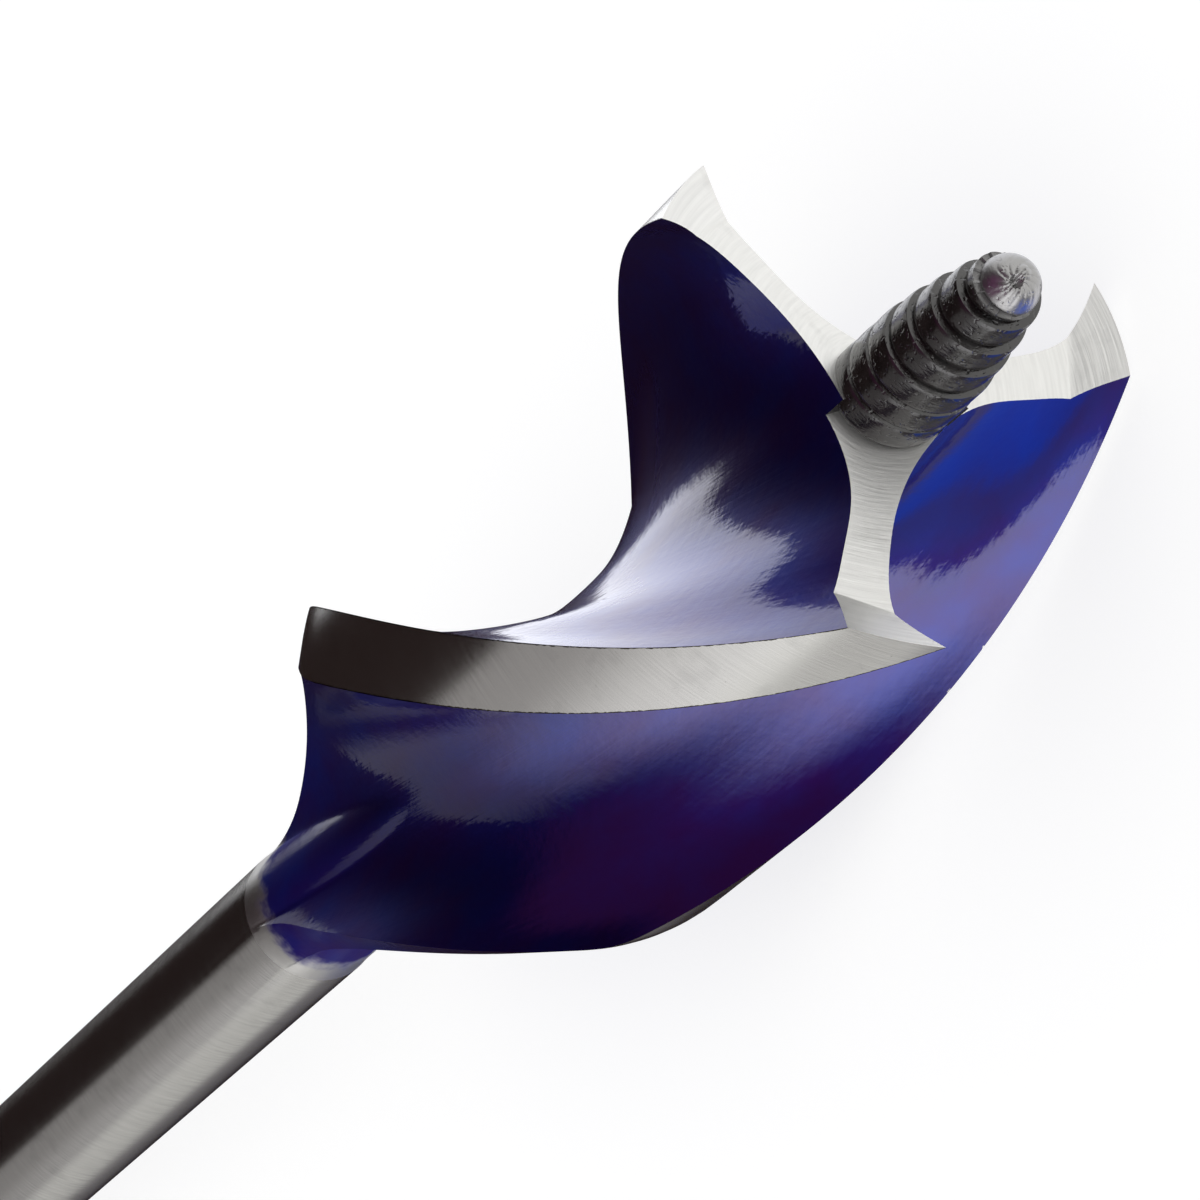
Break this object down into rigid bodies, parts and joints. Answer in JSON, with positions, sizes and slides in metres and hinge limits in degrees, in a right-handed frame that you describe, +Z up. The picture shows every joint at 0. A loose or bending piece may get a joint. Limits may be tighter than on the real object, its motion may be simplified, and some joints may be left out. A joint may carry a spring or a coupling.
{
  "type": "auger bit",
  "caption": "Winged wood auger bit with deep twisted flutes, ground cutting ends, a threaded lead screw and a hexagonal quick-change shank.",
  "frame": {"origin": "middle of the footprint, on the bench the bit lies on", "axes": "+X along the bit from the shank to the lead screw, +Z up from the bench"},
  "size_m": [0.1522, 0.0254, 0.0244],
  "materials": {
    "lacquered_steel": "glossy blue lacquer in the flutes; bare ground steel on lands, cutting ends, lead screw and shank"
  },
  "bodies": {
    "root": {"auger_bit": "lacquered_steel"}
  },
  "joints": []
}
